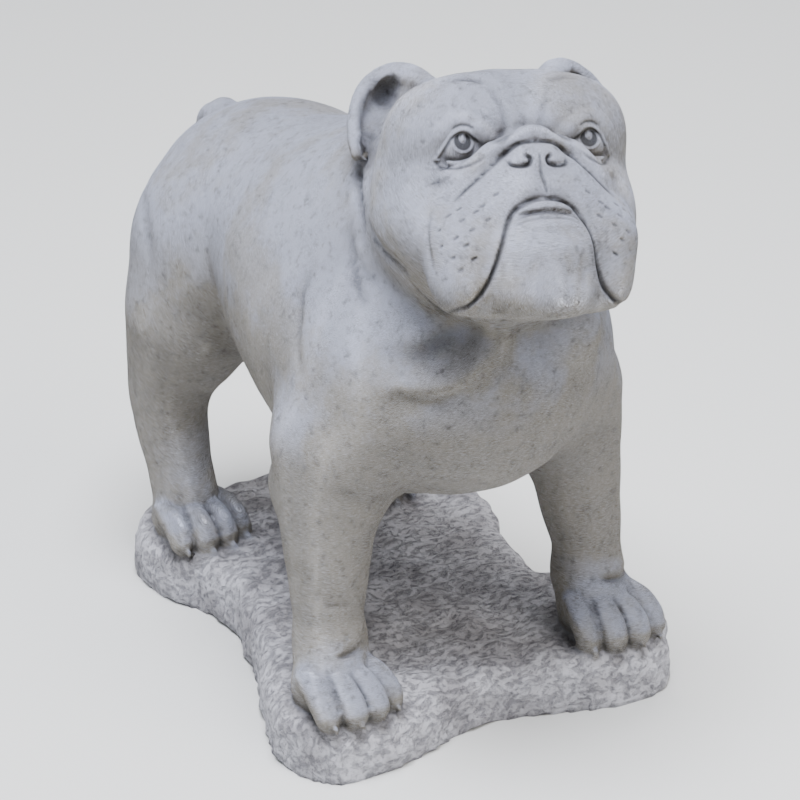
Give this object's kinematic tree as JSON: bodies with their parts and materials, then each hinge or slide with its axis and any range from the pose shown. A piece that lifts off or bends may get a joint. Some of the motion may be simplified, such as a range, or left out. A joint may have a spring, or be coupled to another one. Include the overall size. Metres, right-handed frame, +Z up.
{
  "type": "garden statue",
  "caption": "Standing bulldog garden statue with raised, slightly turned head, cast in one with a rough rock-shaped base",
  "frame": {"origin": "middle of the base's flat underside, which rests on the ground", "axes": "+Z up, the dog faces -Y, its own right side is -X"},
  "size_m": [0.3157, 0.5176, 0.4799],
  "materials": {
    "concrete": "matt weathered cast concrete, pale grey on the high spots with darker dirt in the recesses"
  },
  "bodies": {
    "root": {"bulldog_statue": "concrete"}
  },
  "joints": []
}
